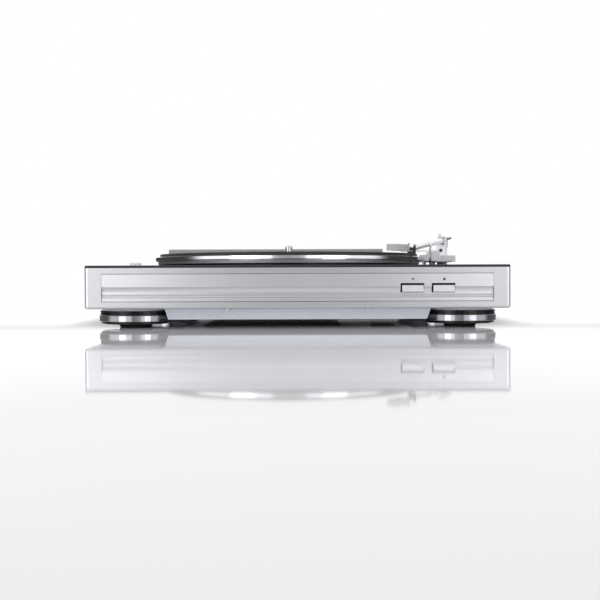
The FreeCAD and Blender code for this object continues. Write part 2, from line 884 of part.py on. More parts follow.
# Cam gear of the automatic return, resting with its toothless gap at the hub pinion
cam_bottom = well_floor + cam_bottom_above_well
cam = gear(cam_teeth, cam_height, cam_bottom, cam_gap_half_angle, (cam_direction + 180.0) % 360.0)
cam.translate(V(cam_x, cam_y, 0))
hub_low = well_floor + seat_gap
cam_hub_top = cam_bottom + cam_height + cam_hub_extra
cam = cam.fuse(cylinder(cam_x, cam_y, hub_low, cam_hub_top, cam_hub_radius))
cam_top = cam_bottom + cam_height
track = ring(
    cam_x, cam_y, cam_top - cam_track_depth, cam_top, cam_track_radius + cam_track_width, cam_track_radius,
)
cam = cam.cut(track)
cam = cam.cut(cylinder(cam_x, cam_y, hub_low, cam_hub_top, cam_post_radius + running_clearance))
save("cam_gear", cam)
cam_post_bottom = well_underside - cam_post_flange_thickness
cam_post = cylinder(cam_x, cam_y, cam_post_bottom, cam_hub_top, cam_post_radius)
cam_post = cam_post.fuse(cylinder(cam_x, cam_y, cam_post_bottom, well_underside, cam_post_flange_radius))
save("cam_post", cam_post)

# Drive motor under the well, with its pulley, belt and screws
motor_bottom = motor_top - motor_height
motor = cylinder(motor_x, motor_y, motor_bottom, motor_top, motor_radius)
motor = round_edges_at(motor, motor_edge_round, motor_bottom)
shaft_bore = motor_shaft_radius + running_clearance
shaft_bottom = motor_bottom + motor_end_thickness
motor = motor.cut(cylinder(motor_x, motor_y, shaft_bottom, motor_top, shaft_bore))
grip_bottom = motor_top - motor_grip
motor = motor.cut([cylinder(x, y, grip_bottom, motor_top, screw_radius) for x, y in motor_screw_places])
save("drive_motor", motor)
pan_screws += [screw(x, y, well_floor, well_floor_thickness + motor_grip) for x, y in motor_screw_places]
belt_bottom = well_floor + belt_bottom_above_well
belt_top = belt_bottom + belt_width
pulley_bottom = belt_bottom - pulley_side_gap - pulley_flange_thickness
pulley_top = belt_top + pulley_side_gap + pulley_flange_thickness
flange_radius = pulley_radius + pulley_flange
pulley = cylinder(motor_x, motor_y, pulley_bottom, pulley_top, pulley_radius)
pulley = pulley.fuse([
    cylinder(motor_x, motor_y, pulley_bottom, pulley_bottom + pulley_flange_thickness, flange_radius),
    cylinder(motor_x, motor_y, pulley_top - pulley_flange_thickness, pulley_top, flange_radius),
])
pulley = pulley.cut(cylinder(motor_x, motor_y, pulley_bottom, pulley_top, motor_shaft_radius))
save("motor_pulley", pulley)
save("motor_shaft", cylinder(motor_x, motor_y, shaft_bottom + seat_gap, pulley_top, motor_shaft_radius))


def belt_outline(extra):
    """The outline round the belt ring and the pulley at one distance outside both, as a face."""
    large = drive_ring_radius + extra
    small = pulley_radius + extra
    touch = math.acos((large - small) / motor_distance)
    up, down = (math.cos(touch), math.sin(touch)), (math.cos(touch), -math.sin(touch))
    large_up, large_down = (V(large * c, large * s, belt_bottom) for c, s in (up, down))
    small_up, small_down = (V(motor_distance + small * c, small * s, belt_bottom) for c, s in (up, down))
    outline = Part.Wire([
        Part.Arc(large_up, V(-large, 0, belt_bottom), large_down).toShape(),
        Part.LineSegment(large_down, small_down).toShape(),
        Part.Arc(small_down, V(motor_distance + small, 0, belt_bottom), small_up).toShape(),
        Part.LineSegment(small_up, large_up).toShape(),
    ])
    return Part.Face(outline)


belt = belt_outline(belt_gap + belt_thickness).cut(belt_outline(belt_gap)).extrude(V(0, 0, belt_width))
belt.rotate(V(0, 0, 0), V(0, 0, 1), motor_direction)
belt.translate(V(platter_x, platter_y, 0))
save("drive_belt", belt)

# Trip solenoid, fixed under the well, and its plunger
solenoid_top = well_underside
solenoid_bottom = solenoid_top - solenoid_height
solenoid_z = (solenoid_top + solenoid_bottom) / 2
solenoid_left = solenoid_x - solenoid_length / 2
solenoid = box(
    solenoid_left, solenoid_x + solenoid_length / 2,
    solenoid_y - solenoid_width / 2, solenoid_y + solenoid_width / 2, solenoid_bottom, solenoid_top,
)
plunger_back = solenoid_x + plunger_in
bore_radius = plunger_radius + running_clearance
solenoid = solenoid.cut(cylinder_x(
    solenoid_left, plunger_back + plunger_travel + plunger_end_gap, solenoid_y, solenoid_z, bore_radius,
))
save("trip_solenoid", solenoid)
plunger_front = solenoid_left - plunger_out
plunger = cylinder_x(plunger_front, plunger_back, solenoid_y, solenoid_z, plunger_radius)
plunger = plunger.fuse(cylinder_x(
    plunger_front, plunger_front + plunger_head, solenoid_y, solenoid_z, plunger_radius + plunger_head,
))
save("trip_plunger", plunger)

# Speed knob on the deck, its shaft and the switch under it
knob_bottom = deck_top + knob_lift
knob_top = knob_bottom + knob_height
speed_switch_top = case_top - case_skin
knob = cylinder(knob_x, knob_y, knob_bottom, knob_top, knob_radius)
knob = round_edges_at(knob, knob_edge_round, knob_top)
knob = knob.fuse(box(
    knob_x - knob_bar_width / 2, knob_x + knob_bar_width / 2, knob_y - knob_radius + knob_bar_inset,
    knob_y + knob_radius - knob_bar_inset, knob_top - knob_bar_root, knob_top + knob_bar_height,
))
knob_shaft_end = speed_switch_top - knob_shaft_in_switch
knob = knob.fuse(cylinder(knob_x, knob_y, knob_shaft_end, knob_bottom, knob_shaft_radius))
save("speed_knob", knob)
speed_switch = box(
    knob_x - speed_switch_size / 2, knob_x + speed_switch_size / 2, knob_y - speed_switch_size / 2,
    knob_y + speed_switch_size / 2, speed_switch_top - speed_switch_height, speed_switch_top,
)
speed_switch = speed_switch.cut(cylinder(
    knob_x, knob_y, knob_shaft_end - seat_gap, speed_switch_top, knob_shaft_radius + running_clearance,
))
save("speed_switch", speed_switch)

# Rear rail along the back of the deck
rail = box(rail_left, rail_right, rail_y - rail_depth / 2, rail_y + rail_depth / 2, deck_top, rail_top)
rail_edges = [e for e in rail.Edges if e.BoundBox.ZMax > deck_top + same]
save("rear_rail", rail.makeFillet(rail_edge_round, rail_edges))

# Arm base: a raised plate on a column, with the tower of the cue lift and a low wing joined to its front
# A slot between the tower and the wing is room for the cue lever
base = rounded_box(base_left, base_right, base_front, base_back, base_bottom, base_top, base_round)
wing_right = tower_left + tower_round
base = base.fuse(rounded_box(
    base_wing_left, wing_right, tower_front, base_front + base_round, base_bottom, base_top, base_round,
))
tower_box = (tower_left, tower_right, tower_front, base_front + base_round)
base = base.fuse(rounded_box(*tower_box, base_bottom, tower_top, tower_round))
base = base.fuse(cylinder(pivot_x, pivot_y, deck_top, base_bottom, base_column_radius))
base = base.fuse(box(
    base_left, base_left + base_leg_width, base_front + base_round, base_front + base_round + base_leg_depth,
    deck_top, base_bottom,
))
tower_middle = (tower_left + tower_right) / 2
base = base.fuse(box(
    tower_middle - tower_leg_width / 2, tower_middle + tower_leg_width / 2, tower_leg_front,
    tower_leg_front + tower_leg_depth, deck_top, base_bottom,
))
base = base.cut(box(
    tower_left + tower_wall, tower_right - tower_wall, tower_front + tower_wall, tower_leg_front,
    base_bottom, tower_top - tower_wall,
))
base = base.cut(box(
    lever_x - lever_thickness / 2 - lever_slot_gap, tower_left, tower_front,
    lever_y + lever_hub_radius + lever_slot_gap, base_bottom, base_top,
))
lever_bore = lever_shaft_radius + running_clearance
base = base.cut(cylinder_x(tower_left, tower_left + tower_wall, lever_y, lever_z, lever_bore))
rod_y = pivot_y - math.sqrt(lift_radius ** 2 - (pivot_x - lift_rod_x) ** 2)
rod_bore = lift_rod_radius + running_clearance
base = base.cut(cylinder(lift_rod_x, rod_y, tower_top - tower_wall, tower_top, rod_bore))
base = base.cut(cylinder(pivot_x, pivot_y, deck_top, base_top, arm_bearing_radius))
save("arm_base", base)

# Arm bearing, its shaft and the sector that the automatic gear works on
arm_bore = arm_shaft_radius + running_clearance
save("arm_bearing", ring(pivot_x, pivot_y, arm_bearing_bottom, base_top, arm_bearing_radius, arm_bore))
shaft_top = turret_bottom + turret_bore_depth
save("arm_shaft", cylinder(pivot_x, pivot_y, arm_shaft_bottom, shaft_top, arm_shaft_radius))
sector_top = sector_bottom + sector_thickness
sector = box(0, sector_radius, -sector_width / 2, sector_width / 2, sector_bottom, sector_top)
sector_hub_top = sector_top + sector_hub_extra
sector = sector.fuse(cylinder(0, 0, sector_bottom, sector_hub_top, sector_hub_radius))
sector = sector.cut(cylinder(0, 0, sector_bottom, sector_hub_top, arm_shaft_radius))
sector.rotate(V(0, 0, 0), V(0, 0, 1), sector_turn)
sector.translate(V(pivot_x, pivot_y, 0))
save("arm_sector", sector)

# Turret, which turns on the shaft and carries the arm between two ears
turret_half = turret_width / 2
turret = rounded_box(
    -turret_back, turret_front, -turret_half, turret_half, turret_bottom, turret_top, turret_round,
)
ear_centre = ear_top - ear_half_depth
for side in (-1, 1):
    low, high = sorted((side * turret_half, side * (turret_half - ear_thickness)))
    turret = turret.fuse(box(-ear_half_depth, ear_half_depth, low, high, turret_top - ear_root, ear_centre))
    turret = turret.fuse(cylinder_y(0, low, high, ear_centre, ear_half_depth))
turret = turret.cut(cylinder_y(0, -turret_half, turret_half, pivot_z, pin_radius + running_clearance))
turret = turret.cut(cylinder(0, 0, turret_bottom, shaft_top, arm_shaft_radius))
shank_end = turret_front - turret_screw_length
turret = turret.cut(cylinder_x(shank_end, turret_front, 0, turret_screw_z, turret_screw_shank))
save("arm_turret", on_arm(turret))
turret_screw = cylinder_x(shank_end, turret_front, 0, turret_screw_z, turret_screw_shank)
turret_screw = turret_screw.fuse(cylinder_x(
    turret_front, turret_front + turret_screw_proud, 0, turret_screw_z, turret_screw_radius,
))
save("turret_screw", on_arm(turret_screw))

# Arm tube: it slopes down from the pivot, then bends level ahead of the arm rest
slope_angle = math.atan(tube_slope)
down = V(math.cos(slope_angle), 0, -math.sin(slope_angle))
ahead = V(1, 0, 0)


def along(distance):
    """The point on the sloping centre line at one distance from the pivot."""
    return V(0, 0, pivot_z) + down * distance


bend = V(bend_distance, 0, tube_front_z)
tube_start = along(-balance_rod_start)
arc_start = bend - down * bend_run
arc_end = bend + ahead * bend_run
bend_radius = bend_run / math.tan(slope_angle / 2)
inward = ahead - down
inward.normalize()
arc_middle = bend + inward * (bend_radius / math.cos(slope_angle / 2) - bend_radius)
tube_end = V(collar_distance + tube_in_headshell, 0, tube_front_z)
tube_path = Part.Wire([
    Part.LineSegment(tube_start, arc_start).toShape(),
    Part.Arc(arc_start, arc_middle, arc_end).toShape(),
    Part.LineSegment(arc_end, tube_end).toShape(),
])


def swept(radius):
    circle = Part.Wire([Part.Circle(tube_start, down, radius).toShape()])
    return tube_path.makePipeShell([circle], True, False)


def sloping_rod(start, end, radius):
    return Part.makeCylinder(radius, end - start, along(start), down)


tube_outside = swept(tube_radius)
tube = tube_outside.cut(swept(tube_radius - tube_wall))
sleeve = sloping_rod(sleeve_start, sleeve_end, sleeve_radius).cut(tube_outside)
collar = cylinder_x(collar_distance - collar_length, collar_distance, 0, tube_front_z, collar_radius)
collar = collar.cut(tube_outside)
save("arm_sleeve", on_arm(sleeve))
save("arm_collar", on_arm(collar))

# Housing round the tube at the pivot, the counterweight behind it and the rod that carries it
housing_half = turret_half - ear_thickness - ear_gap
housing = box(-housing_back, housing_front, -housing_half, housing_half, housing_bottom, housing_top)
housing = housing.makeFillet(housing_round, housing.Edges)
rod = sloping_rod(-balance_rod_end, -balance_rod_start, balance_rod_radius)
housing = housing.cut([tube_outside, rod])
pins = []
for side in (-1, 1):
    low, high = sorted((side * pin_inner, side * turret_half))
    pins.append(cylinder_y(0, low, high, pivot_z, pin_radius))
housing = housing.cut(pins)
housing = housing.cut(cylinder(
    bearing_screw_ahead, bearing_screw_side, housing_top - bearing_screw_depth, housing_top,
    bearing_screw_radius,
))
save("arm_housing", on_arm(housing))
save("lift_pins", on_arm(Part.makeCompound(pins)))
bearing_screw = cylinder(
    bearing_screw_ahead, bearing_screw_side, housing_top - bearing_screw_depth,
    housing_top + bearing_screw_height, bearing_screw_radius,
)
save("bearing_screw", on_arm(bearing_screw))
weight_back = housing_back + weight_length
weight = box(-weight_back, -housing_back, -weight_width / 2, weight_width / 2, weight_bottom, housing_top)
weight = weight.makeFillet(housing_round, weight.Edges).cut(rod)
save("counterweight", on_arm(weight))
save("balance_rod", on_arm(rod))

# Headshell: a shell closed at the nose and open below, with a block at its back for the tube's end
half_rear = headshell_rear_width / 2
half_wide = headshell_width / 2
half_nose = headshell_nose_width / 2
plate_bottom = headshell_top - headshell_plate


def headshell_solid(inset, bottom, top):
    """The headshell's plan drawn in by inset, raised between two heights."""
    corners = [(-collar_radius, half_rear - inset), (0, half_rear - inset)]
    corners += [(headshell_taper, half_wide - inset), (headshell_wide_length, half_wide - inset)]
    corners.append((headshell_length - inset, half_nose - inset))
    points = [V(x, y, bottom) for x, y in corners]
    points += [V(x, -y, bottom) for x, y in reversed(corners)]
    return prism(points, top - bottom)


shell = headshell_solid(0.0, headshell_bottom, headshell_top)
room = headshell_solid(headshell_wall, headshell_bottom, plate_bottom)
block_front = cartridge_rear - cartridge_gap
room = room.cut(box(
    -headshell_length, block_front, -headshell_width, headshell_width, headshell_bottom, headshell_top,
))
shell = on_headshell(shell.cut(room))
behind = box(
    collar_distance - headshell_length, collar_distance, -headshell_width, headshell_width,
    headshell_bottom - headshell_wall, headshell_top + headshell_wall,
)
shell = shell.cut(on_arm(behind)).cut(on_arm(tube_outside))
save("headshell", shell)
save("arm_tube", on_arm(tube))

# Cartridge under the headshell's plate, its stylus and the finger lift
cartridge_half = half_wide - headshell_wall - cartridge_gap
cartridge_top = plate_bottom - cartridge_gap
cartridge = box(
    cartridge_rear, cartridge_front, -cartridge_half, cartridge_half, cartridge_bottom, cartridge_top,
)
stylus_top = cartridge_bottom + stylus_height
notch = box(stylus_rear, cartridge_front, -stylus_width / 2, stylus_width / 2, cartridge_bottom, stylus_top)
save("cartridge", on_headshell(cartridge.cut(notch)))
stylus = box(stylus_rear, stylus_front, -stylus_width / 2, stylus_width / 2, cartridge_bottom, stylus_top)
stylus = stylus.fuse(box(
    stylus_front, stylus_tip_at + stylus_rod / 2, -stylus_rod / 2, stylus_rod / 2,
    cartridge_bottom, cartridge_bottom + stylus_rod,
))
stylus = stylus.fuse(Part.makeCone(
    stylus_rod / 2, stylus_point_radius, cartridge_bottom - stylus_tip,
    V(stylus_tip_at, 0, cartridge_bottom), V(0, 0, -1),
))
save("stylus", on_headshell(stylus))
finger = box(
    finger_at - finger_width / 2, finger_at + finger_width / 2, half_wide, half_wide + finger_reach,
    plate_bottom - finger_thickness, plate_bottom,
)
finger = finger.fuse(box(
    finger_at - finger_width / 2, finger_at + finger_width / 2, half_wide + finger_reach - finger_thickness,
    half_wide + finger_reach, plate_bottom - finger_thickness, finger_top,
))
save("finger_lift", on_headshell(finger))

# Cue lever on the tower's side, with a crank inside the tower that raises the lift rod
lever_left = lever_x - lever_thickness / 2
lever_right = lever_x + lever_thickness / 2
crank_left = lift_rod_x - crank_thickness / 2
crank_right = lift_rod_x + crank_thickness / 2
blade = box(lever_left, lever_right, -lever_depth / 2, lever_depth / 2, 0, lever_length - lever_depth / 2)
blade = blade.fuse(cylinder_x(lever_left, lever_right, 0, lever_length - lever_depth / 2, lever_depth / 2))
blade.rotate(V(0, 0, 0), V(1, 0, 0), lever_lean)
lever = blade.fuse(cylinder_x(lever_left, lever_right, 0, 0, lever_hub_radius))
lever = lever.fuse(cylinder_x(lever_right, crank_right, 0, 0, lever_shaft_radius))
crank = box(crank_left, crank_right, 0, crank_length, -crank_width / 2, crank_width / 2)
crank.rotate(V(0, 0, 0), V(1, 0, 0), -crank_angle)
lever = lever.fuse(crank)
lever.translate(V(0, lever_y, lever_z))
save("cue_lever", lever)

# Lift bar: an arc round the arm's pivot, so it carries the arm wherever it has swung to
rod_reach = rod_y - lever_y
crank_drop = math.radians(crank_angle)
touch_above = (lift_rod_radius + crank_width / 2) / math.cos(crank_drop) - rod_reach * math.tan(crank_drop)
rod_tip_centre = lever_z + touch_above + crank_gap
bar_bottom = lift_bar_top - lift_bar_thickness
lift_rod = cylinder(lift_rod_x, rod_y, rod_tip_centre, bar_bottom, lift_rod_radius)
lift_rod = lift_rod.fuse(Part.makeSphere(lift_rod_radius, V(lift_rod_x, rod_y, rod_tip_centre)))
arc_edge = V(lift_radius - lift_bar_width / 2, 0, bar_bottom)
arc_face = Part.makePolygon([
    arc_edge, arc_edge + V(lift_bar_width, 0, 0), arc_edge + V(lift_bar_width, 0, lift_bar_thickness),
    arc_edge + V(0, 0, lift_bar_thickness), arc_edge,
])
lift_bar = Part.Face(arc_face).revolve(V(0, 0, 0), V(0, 0, 1), -lift_bar_sweep)
lift_bar.rotate(V(0, 0, 0), V(0, 0, 1), lift_bar_lead)
lift_bar = on_arm(lift_bar).fuse(lift_rod)
save("lift_bar", lift_bar)

# Arm rest with a level saddle, open on the platter's side, and a prong that carries the clip
saddle_top = tube_front_z - tube_radius - saddle_gap
saddle_right = tube_radius + saddle_gap
rest_back = rest_distance - saddle_depth / 2
rest_front = rest_distance + saddle_depth / 2
prong_right = saddle_right + prong_thickness
saddle_bottom = saddle_top - saddle_height
saddle = box(rest_back, rest_front, -saddle_left, prong_right, saddle_bottom, saddle_top)
saddle = saddle.fuse(box(rest_back, rest_front, saddle_right, prong_right, saddle_bottom, prong_top))
saddle = saddle.fuse(cylinder(rest_distance, 0, deck_top, saddle_bottom, rest_post_radius))
saddle = saddle.fuse(cylinder(rest_distance, 0, deck_top, deck_top + rest_flange_height, rest_flange_radius))
clip_y = saddle_right + prong_thickness / 2
pin_hole = clip_pin_radius + running_clearance
pin_bottom = prong_top - clip_pin_depth
saddle = saddle.cut(cylinder(rest_distance, clip_y, pin_bottom - clip_gap, prong_top, pin_hole))
save("arm_rest", on_arm(saddle))
clip_bottom = prong_top + clip_gap
clip_top = clip_bottom + clip_thickness
clip_end = rest_distance - clip_length + clip_width / 2
clip = box(clip_end, rest_distance, clip_y - clip_width / 2, clip_y + clip_width / 2, clip_bottom, clip_top)
clip = clip.fuse([
    cylinder(clip_end, clip_y, clip_bottom, clip_top, clip_width / 2),
    cylinder(rest_distance, clip_y, clip_bottom, clip_top, clip_width / 2),
    cylinder(rest_distance, clip_y, pin_bottom, clip_top, clip_pin_radius),
    cylinder(rest_distance, clip_y, clip_top, clip_top + clip_head_height, clip_head_radius),
])
save("arm_clip", on_arm(clip))

# Circuit board on the tray's posts, with its parts and screws
board_bottom = skirt_floor + board_standoff
board_top = board_bottom + board_thickness
board = box(
    board_x - board_length / 2, board_x + board_length / 2,
    board_y - board_width / 2, board_y + board_width / 2, board_bottom, board_top,
)
board = board.cut([cylinder(x, y, board_bottom, board_top, screw_radius) for x, y in board_posts])
save("circuit_board", board)
pan_screws += [screw(x, y, board_top, board_thickness + board_standoff) for x, y in board_posts]
board_parts = []
for x in (board_x - chip_left, board_x + chip_right):
    board_parts.append(box(
        x - chip_length / 2, x + chip_length / 2, board_y - chip_width / 2, board_y + chip_width / 2,
        board_top, board_top + chip_height,
    ))
capacitor_top = board_top + capacitor_height
for x in (board_x - capacitor_far, board_x - capacitor_near, board_x + capacitor_far):
    capacitor = cylinder(x, board_y + capacitor_row, board_top, capacitor_top, capacitor_radius)
    board_parts.append(round_edges_at(capacitor, capacitor_round, capacitor_top))
connector_y = board_y - connector_drop
for x in (board_x - connector_left, board_x + connector_right):
    board_parts.append(box(
        x - connector_length / 2, x + connector_length / 2, connector_y - connector_width / 2,
        connector_y + connector_width / 2, board_top, board_top + connector_height,
    ))
save("board_parts", Part.makeCompound(board_parts))
save("pan_screws", Part.makeCompound(pan_screws))
transformer = box(
    transformer_x - transformer_length / 2, transformer_x + transformer_length / 2,
    transformer_y - transformer_width / 2, transformer_y + transformer_width / 2,
    skirt_floor, skirt_floor + transformer_height,
)
save("transformer", transformer)

# Glands in the back wall where the mains and signal cords would leave
glands = []
inner_face = back_y - side_wall
for x in (mains_gland_x, signal_gland_x):
    gland = cylinder_y(x, inner_face, back_y, gland_z, gland_radius)
    gland = gland.fuse(cylinder_y(x, inner_face - gland_flange_thickness, inner_face, gland_z, gland_flange))
    bore = cylinder_y(x, inner_face - gland_flange_thickness, back_y, gland_z, gland_bore)
    glands.append(gland.cut(bore))
save("cord_glands", Part.makeCompound(glands))
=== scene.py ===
import math

import bpy
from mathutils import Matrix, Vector


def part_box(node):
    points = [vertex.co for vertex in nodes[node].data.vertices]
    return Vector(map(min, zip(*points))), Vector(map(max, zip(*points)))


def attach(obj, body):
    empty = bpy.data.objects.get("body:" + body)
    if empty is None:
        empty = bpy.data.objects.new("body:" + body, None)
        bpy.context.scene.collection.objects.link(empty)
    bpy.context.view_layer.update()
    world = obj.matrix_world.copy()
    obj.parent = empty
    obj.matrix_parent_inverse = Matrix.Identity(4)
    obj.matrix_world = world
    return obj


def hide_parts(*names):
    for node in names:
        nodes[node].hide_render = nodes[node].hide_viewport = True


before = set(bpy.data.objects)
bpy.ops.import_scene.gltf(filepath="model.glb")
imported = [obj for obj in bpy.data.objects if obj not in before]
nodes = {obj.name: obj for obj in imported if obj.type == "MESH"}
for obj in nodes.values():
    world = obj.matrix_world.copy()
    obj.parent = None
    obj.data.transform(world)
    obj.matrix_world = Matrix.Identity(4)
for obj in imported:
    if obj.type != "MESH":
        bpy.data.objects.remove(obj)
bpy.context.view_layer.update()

scene = bpy.context.scene

# The room: a pale gloss floor that runs out to white, with no wall behind it.
# It is a sheet of white acrylic, so it keeps soft shadows and mirrors more the flatter it is seen.
# To the camera alone it turns white far behind the object and beside the object's back half.
floor_half = 6.0
floor_below_feet = 0.0002
floor_white = "#E9E9EC"
floor_roughness = 0.04
fade_start = 0.25
fade_end = 1.0
beside_start = 0.18
beside_end = 0.22
beside_front = -0.2
beside_back = -0.09


def linear(hex_value):
    """A written sRGB colour as the linear one that the shader takes."""
    shares = [int(hex_value[digit:digit + 2], 16) / 255.0 for digit in (1, 3, 5)]
    lights = [share / 12.92 if share <= 0.04045 else ((share + 0.055) / 1.055) ** 2.4 for share in shares]
    return lights + [1.0]


def add_node(tree, kind, links=None, **settings):
    """Adds one shader node, sets its properties and sockets, and links its inputs."""
    node = tree.nodes.new(kind)
    for name, value in settings.items():
        if hasattr(node, name):
            setattr(node, name, value)
        else:
            node.inputs[name.replace("_", " ")].default_value = value
    for socket, source in (links or {}).items():
        tree.links.new(source, node.inputs[socket])
    return node


bpy.ops.object.select_all(action="DESELECT")
bpy.ops.mesh.primitive_plane_add(size=2 * floor_half, location=(0, 0, -floor_below_feet))
floor = bpy.context.object
floor.name = "floor"
acrylic = bpy.data.materials.new("white_acrylic_floor")
acrylic.use_nodes = True
tree = acrylic.node_tree
tree.nodes.clear()
floor_coords = add_node(tree, "ShaderNodeTexCoord")
across = add_node(tree, "ShaderNodeSeparateXYZ", {"Vector": floor_coords.outputs["Object"]})
far = add_node(tree, "ShaderNodeMapRange", {"Value": across.outputs["Y"]},
               From_Min=fade_start, From_Max=fade_end)
aside = add_node(tree, "ShaderNodeMath", {0: across.outputs["X"]}, operation="ABSOLUTE")
wide = add_node(tree, "ShaderNodeMapRange", {"Value": aside.outputs[0]},
                From_Min=beside_start, From_Max=beside_end)
back = add_node(tree, "ShaderNodeMapRange", {"Value": across.outputs["Y"]},
                From_Min=beside_front, From_Max=beside_back)
beside = add_node(tree, "ShaderNodeMath", {0: wide.outputs[0], 1: back.outputs[0]}, operation="MULTIPLY")
open_floor = add_node(tree, "ShaderNodeMath", {0: far.outputs[0], 1: beside.outputs[0]},
                      operation="MAXIMUM")
sheet = add_node(tree, "ShaderNodeBsdfPrincipled", Base_Color=linear(floor_white), Roughness=floor_roughness)
glow = add_node(tree, "ShaderNodeEmission", Color=linear("#FFFFFF"), Strength=1.0)
seen = add_node(tree, "ShaderNodeLightPath")
fade = add_node(tree, "ShaderNodeMath", {0: open_floor.outputs[0], 1: seen.outputs["Is Camera Ray"]},
                operation="MULTIPLY")
top_side = add_node(tree, "ShaderNodeMixShader", {
    0: fade.outputs[0], 1: sheet.outputs[0], 2: glow.outputs[0],
})
clear = add_node(tree, "ShaderNodeBsdfTransparent")
side = add_node(tree, "ShaderNodeNewGeometry")
both = add_node(tree, "ShaderNodeMixShader", {
    0: side.outputs["Backfacing"], 1: top_side.outputs[0], 2: clear.outputs[0],
})
add_node(tree, "ShaderNodeOutputMaterial", {"Surface": both.outputs[0]})
floor.data.materials.append(acrylic)

# The light: an even white surround, a softbox high on each side, and two reflector cards low at each front
# corner. Gloss sees a ring of shades: grey behind the camera, white from 38 degrees to each side of it, then
# dark flags. A white backdrop stands low behind the object, and a white ceiling hangs over its back half.
even_level = 0.72
ring_shades = (
    (0, 0.26), (10, 0.35), (20, 0.5), (30, 0.7), (38, 0.95), (74, 0.95), (81, 0.65), (88, 0.14), (95, 0.03),
)
ring_strength = 1.5
right_share = 0.88
right_side_from = 25
# Each pair is where a shade starts and is full, as the depth or height of the direction looked in.
backdrop_side, backdrop_middle = 0.85, 0.93
backdrop_foot, backdrop_top = 0.0405, 0.0445
ceiling_front, ceiling_back = -0.05, 0.25
ceiling_low, ceiling_high = 0.08, 0.2
low_white, high_white = 1.15, 0.84
low_white_z, high_white_z = 0.045, 0.12
light_target = Vector((0, -0.1, 0.04))
world = bpy.data.worlds.new("studio")
scene.world = world
world.use_nodes = True
tree = world.node_tree
tree.nodes.clear()
ray = add_node(tree, "ShaderNodeLightPath")
towards = add_node(tree, "ShaderNodeTexCoord")
heading = add_node(tree, "ShaderNodeSeparateXYZ", {"Vector": towards.outputs["Generated"]})
from_front = add_node(tree, "ShaderNodeMapping", {"Vector": towards.outputs["Generated"]},
                      Rotation=(0, 0, math.radians(90)))
compass = add_node(tree, "ShaderNodeTexGradient", {"Vector": from_front.outputs[0]}, gradient_type="RADIAL")
shades = add_node(tree, "ShaderNodeValToRGB", {0: compass.outputs["Fac"]})
stops = shades.color_ramp.elements
stops[0].color = stops[1].color = (ring_shades[-1][1],) * 3 + (1,)
for degrees, shade in ring_shades:
    stops.new(0.5 - degrees / 360).color = (shade,) * 3 + (1,)
    if degrees:
        share = right_share if degrees > right_side_from else 1.0
        stops.new(0.5 + degrees / 360).color = (shade * share,) * 3 + (1,)
ring = add_node(tree, "ShaderNodeMath", {0: shades.outputs["Color"]}, operation="MULTIPLY")
ring.inputs[1].default_value = ring_strength
behind = add_node(tree, "ShaderNodeMapRange", {"Value": heading.outputs["Y"]},
                  From_Min=backdrop_side, From_Max=backdrop_middle)
raised = add_node(tree, "ShaderNodeMapRange", {"Value": heading.outputs["Z"]},
                  From_Min=backdrop_foot, From_Max=backdrop_top)
backdrop = add_node(tree, "ShaderNodeMath", {0: behind.outputs[0], 1: raised.outputs[0]},
                    operation="MULTIPLY")
back_half = add_node(tree, "ShaderNodeMapRange", {"Value": heading.outputs["Y"]},
                     From_Min=ceiling_front, From_Max=ceiling_back)
overhead = add_node(tree, "ShaderNodeMapRange", {"Value": heading.outputs["Z"]},
                    From_Min=ceiling_low, From_Max=ceiling_high)
ceiling = add_node(tree, "ShaderNodeMath", {0: back_half.outputs[0], 1: overhead.outputs[0]},
                   operation="MULTIPLY")
white_part = add_node(tree, "ShaderNodeMath", {0: backdrop.outputs[0], 1: ceiling.outputs[0]},
                      operation="MAXIMUM")
white_level = add_node(
    tree, "ShaderNodeMapRange", {"Value": heading.outputs["Z"]},
    From_Min=low_white_z, From_Max=high_white_z, To_Min=low_white, To_Max=high_white,
)
strength = add_node(tree, "ShaderNodeMix", {
    "Factor": white_part.outputs[0], "A": ring.outputs[0], "B": white_level.outputs[0],
})
even = add_node(tree, "ShaderNodeBackground", Color=linear("#FFFFFF"), Strength=even_level)
white = add_node(tree, "ShaderNodeBackground", Color=linear("#FFFFFF"), Strength=1.0)
studio = add_node(tree, "ShaderNodeBackground", {"Strength": strength.outputs[0]}, Color=linear("#FFFFFF"))
glossy = add_node(tree, "ShaderNodeMixShader", {
    0: ray.outputs["Is Glossy Ray"], 1: even.outputs[0], 2: studio.outputs[0],
})
final = add_node(tree, "ShaderNodeMixShader", {
    0: ray.outputs["Is Camera Ray"], 1: glossy.outputs[0], 2: white.outputs[0],
})
add_node(tree, "ShaderNodeOutputWorld", {"Surface": final.outputs[0]})

softboxes = (
    ("top_left_softbox", (-0.8, 0.15, 1.5), 1.0, 1.2, 7.5),
    ("top_right_softbox", (0.85, 0.15, 1.5), 0.9, 1.2, 5.0),
    ("left_outer_card", (-0.62, -0.85, 0.15), 0.34, 0.6, 1.7),
    ("left_inner_card", (-0.32, -0.85, 0.15), 0.26, 0.6, 0.55),
    ("right_outer_card", (0.62, -0.85, 0.15), 0.34, 0.6, 1.4),
    ("right_inner_card", (0.32, -0.85, 0.15), 0.26, 0.6, 0.45),
)
for name, stand, width, height, power in softboxes:
    lamp = bpy.data.lights.new(name, "AREA")
    lamp.shape = "RECTANGLE"
    lamp.size = width
    lamp.size_y = height
    lamp.energy = power
    holder = bpy.data.objects.new(name, lamp)
    scene.collection.objects.link(holder)
    holder.location = stand
    holder.rotation_euler = (light_target - Vector(stand)).to_track_quat("-Z", "Y").to_euler()
    holder.visible_camera = False

